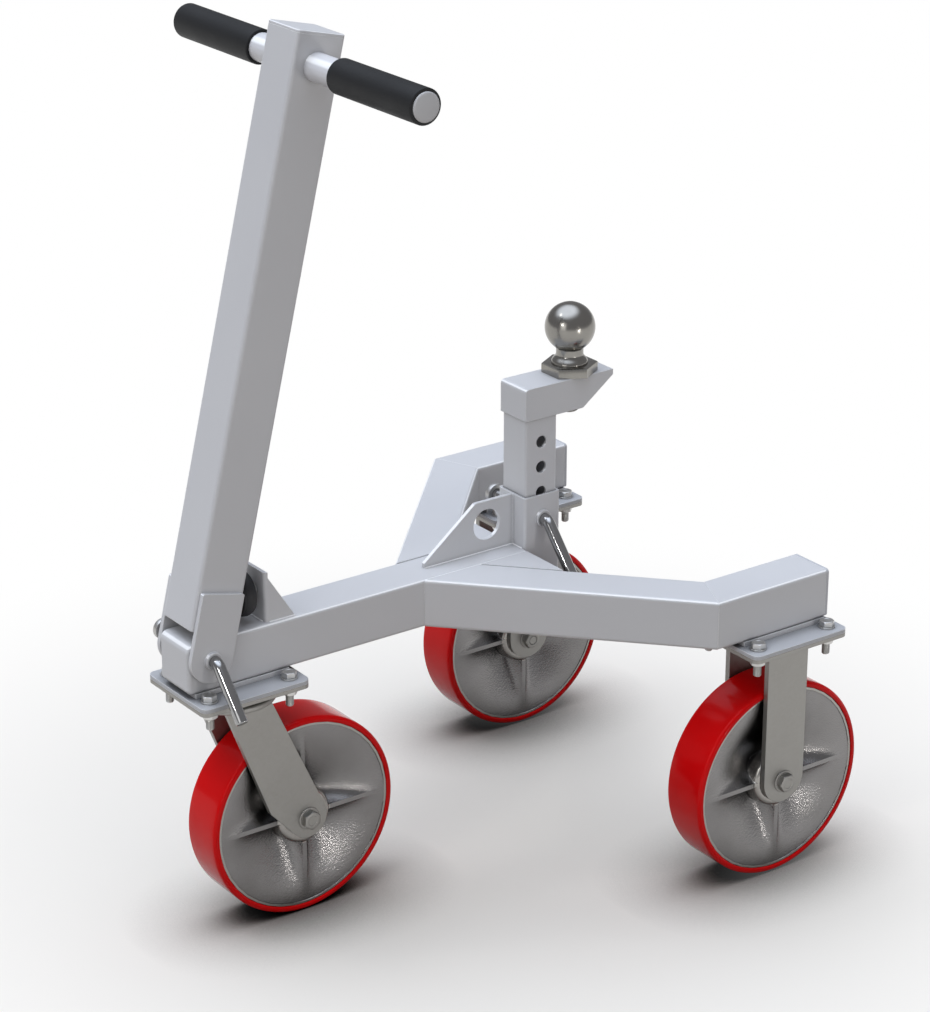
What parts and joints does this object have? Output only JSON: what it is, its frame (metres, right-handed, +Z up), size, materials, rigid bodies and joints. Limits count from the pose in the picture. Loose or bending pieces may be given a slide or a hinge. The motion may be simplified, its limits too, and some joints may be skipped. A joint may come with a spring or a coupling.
{
  "type": "trailer dolly",
  "caption": "Three-wheeled hand dolly that carries a trailer by its coupling: forked steel frame, folding T-handle tiller, ball on a height-adjustable post, swivelling front caster.",
  "frame": {"origin": "on the ground, midway along the length and width of the dolly", "axes": "+X forward to the tiller and the front caster, +Y to the left, +Z up"},
  "size_m": [0.65, 0.5214, 0.8736],
  "materials": {
    "frame_paint": "smooth silver-grey paint",
    "handle_paint": "gloss light paint",
    "zinc_steel": "zinc plated",
    "bare_steel": "ground",
    "ball_steel": "polished",
    "bright_chrome": "polished chrome",
    "black_plastic": "satin",
    "grey_plastic": "satin",
    "buffer_rubber": "matt",
    "wheel_grey": "sand-cast",
    "red_tread": "glossy polyurethane"
  },
  "bodies": {
    "frame": {"main_beam": "frame_paint", "pivot_sleeve": "bare_steel", "left_arm": "frame_paint", "right_arm": "frame_paint", "left_tine": "frame_paint", "right_tine": "frame_paint", "tine_end_plugs": "black_plastic", "left_gusset": "frame_paint", "right_gusset": "frame_paint", "post_socket": "frame_paint", "socket_fin": "frame_paint", "buffer_bracket": "frame_paint", "rubber_buffer": "buffer_rubber", "buffer_stud": "zinc_steel", "hitch_post": "frame_paint", "post_head": "frame_paint", "tow_ball": "ball_steel", "ball_nut_and_washer": "zinc_steel", "spacer_pads": "frame_paint", "front_mounting_plate": "frame_paint", "left_mounting_plate": "frame_paint", "right_mounting_plate": "frame_paint", "front_caster_plate": "zinc_steel", "left_caster_plate": "zinc_steel", "right_caster_plate": "zinc_steel", "left_rigid_fork": "zinc_steel", "right_rigid_fork": "zinc_steel", "plate_bolts": "zinc_steel", "plate_washers": "zinc_steel", "plate_nuts": "zinc_steel", "kingpin": "zinc_steel", "rear_axle_bolts": "zinc_steel", "rear_axle_nuts": "zinc_steel", "rear_axle_sleeves": "bare_steel"},
    "tiller": {"tiller_tube": "frame_paint", "tiller_top_cap": "frame_paint", "left_cheek": "frame_paint", "right_cheek": "frame_paint", "handlebar": "handle_paint", "left_grip": "black_plastic", "right_grip": "black_plastic", "handlebar_plugs": "grey_plastic"},
    "tiller_pin": {"tiller_pin": "bright_chrome", "tiller_pin_collar": "bright_chrome"},
    "post_pin": {"post_pin": "bright_chrome", "post_pin_collar": "bright_chrome"},
    "swivel": {"swivel_fork": "zinc_steel", "front_axle_bolt": "zinc_steel", "front_axle_nut": "zinc_steel", "front_axle_sleeve": "bare_steel"},
    "front_wheel": {"front_wheel_centre": "wheel_grey", "front_tyre": "red_tread", "front_wheel_bearings": "bare_steel"},
    "left_wheel": {"left_wheel_centre": "wheel_grey", "left_tyre": "red_tread", "left_wheel_bearings": "bare_steel"},
    "right_wheel": {"right_wheel_centre": "wheel_grey", "right_tyre": "red_tread", "right_wheel_bearings": "bare_steel"}
  },
  "joints": [
    {"name": "tiller_fold", "type": "hinge", "parent": "frame", "child": "tiller", "pos_m": [0.3018, 0, 0.2975], "axis": [0, 1, 0], "range_deg": [0, 105]},
    {"name": "tiller_pin_turn", "type": "hinge", "parent": "frame", "child": "tiller_pin", "pos_m": [0.3018, 0, 0.2975], "axis": [0, 1, 0], "continuous": true},
    {"name": "post_pin_turn", "type": "hinge", "parent": "frame", "child": "post_pin", "pos_m": [-0.087, 0, 0.3435], "axis": [0, 1, 0], "range_deg": [-15, 290]},
    {"name": "caster_swivel", "type": "hinge", "parent": "frame", "child": "swivel", "pos_m": [0.266, 0, 0.1025], "axis": [0, 0, 1], "continuous": true},
    {"name": "front_wheel_spin", "type": "hinge", "parent": "swivel", "child": "front_wheel", "pos_m": [0.2004, 0, 0.1025], "axis": [0, 1, 0], "continuous": true},
    {"name": "left_wheel_spin", "type": "hinge", "parent": "frame", "child": "left_wheel", "pos_m": [-0.2225, 0.2092, 0.1025], "axis": [0, 1, 0], "continuous": true},
    {"name": "right_wheel_spin", "type": "hinge", "parent": "frame", "child": "right_wheel", "pos_m": [-0.2225, -0.2092, 0.1025], "axis": [0, 1, 0], "continuous": true}
  ]
}
